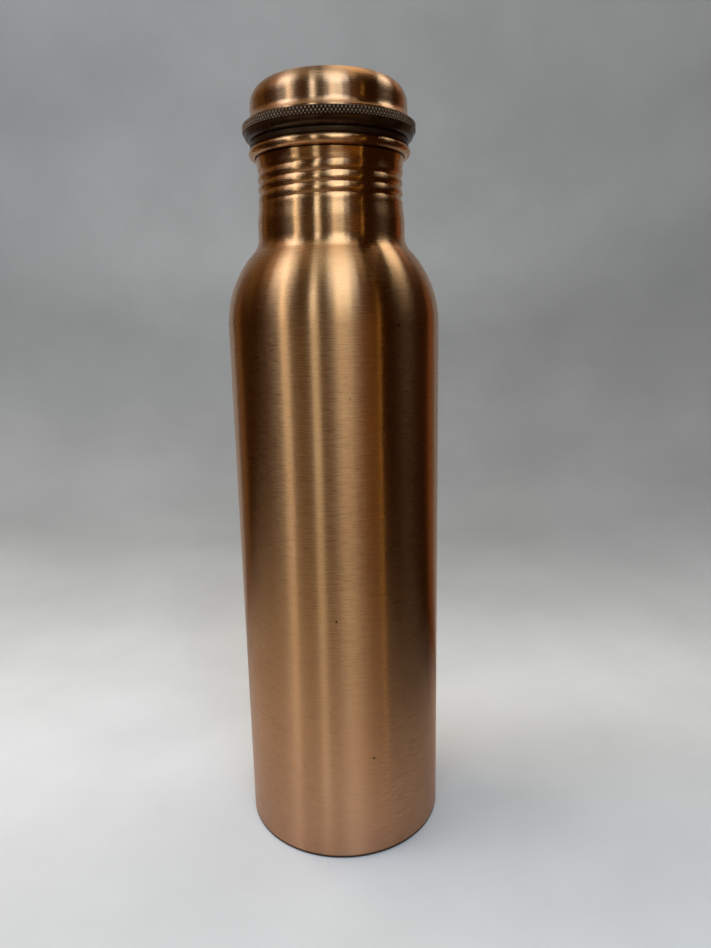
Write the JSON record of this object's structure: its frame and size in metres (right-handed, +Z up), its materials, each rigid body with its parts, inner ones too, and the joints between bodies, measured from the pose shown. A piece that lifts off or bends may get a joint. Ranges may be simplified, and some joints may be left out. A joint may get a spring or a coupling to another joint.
{
  "type": "water bottle",
  "caption": "Slender copper water bottle with a rolled-thread neck, curled lip and a screw-in stopper lid with a knurled grip ring under a copper cap.",
  "frame": {"origin": "centre of the circle the bottle stands on, on the bottle's axis", "axes": "+Z up along the bottle's axis, from the base to the lid; -Y is the side the viewer faces"},
  "size_m": [0.073, 0.073, 0.2643],
  "materials": {
    "copper_body": "fine circumferential brushing, satin, slightly tarnished copper",
    "copper_base": "pressed copper sheet, duller than the body",
    "copper_cap": "soft-polished copper with faint lathe lines",
    "stopper_black": "moulded black plastic, semi-gloss, with a diamond knurl",
    "gasket_black": "smooth black silicone rubber"
  },
  "bodies": {
    "bottle": {"bottle_body": "copper_body", "base_disc": "copper_base"},
    "seal": {"gasket": "gasket_black"},
    "lid": {"stopper": "stopper_black", "cap_shell": "copper_cap"}
  },
  "joints": [
    {"name": "lid_rise", "type": "slide", "parent": "bottle", "child": "seal", "axis": [0, 0, 1], "range_m": [0, 0.0159]},
    {"name": "lid_turn", "type": "hinge", "parent": "seal", "child": "lid", "pos_m": [0, 0, 0.2464], "axis": [0, 0, 1], "range_deg": [0, 1800]}
  ],
  "couplings": [
    {"joint": "lid_rise", "follows": "lid_turn", "m_per_rad": 0.00050532}
  ]
}
